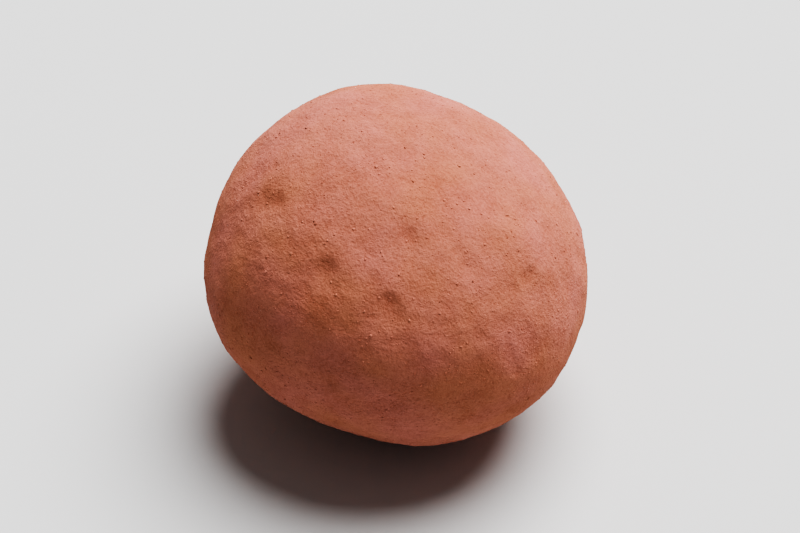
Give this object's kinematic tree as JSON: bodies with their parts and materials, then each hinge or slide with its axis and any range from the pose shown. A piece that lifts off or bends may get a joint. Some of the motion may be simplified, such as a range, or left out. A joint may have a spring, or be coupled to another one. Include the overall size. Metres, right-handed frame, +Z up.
{
  "type": "hazelnut dragee",
  "caption": "Uneven round sweet: a roasted hazelnut in a panned chocolate coat dusted all over with matt cocoa, resting on a small flat spot.",
  "frame": {"origin": "in the resting plane, under the middle of the piece's box", "axes": "+Z up from the flat spot it rests on, +X along the nut towards its narrower end"},
  "size_m": [0.0178, 0.017, 0.0155],
  "materials": {
    "cocoa_dusted_coat": null
  },
  "bodies": {
    "root": {"dragee": "cocoa_dusted_coat"}
  },
  "joints": []
}
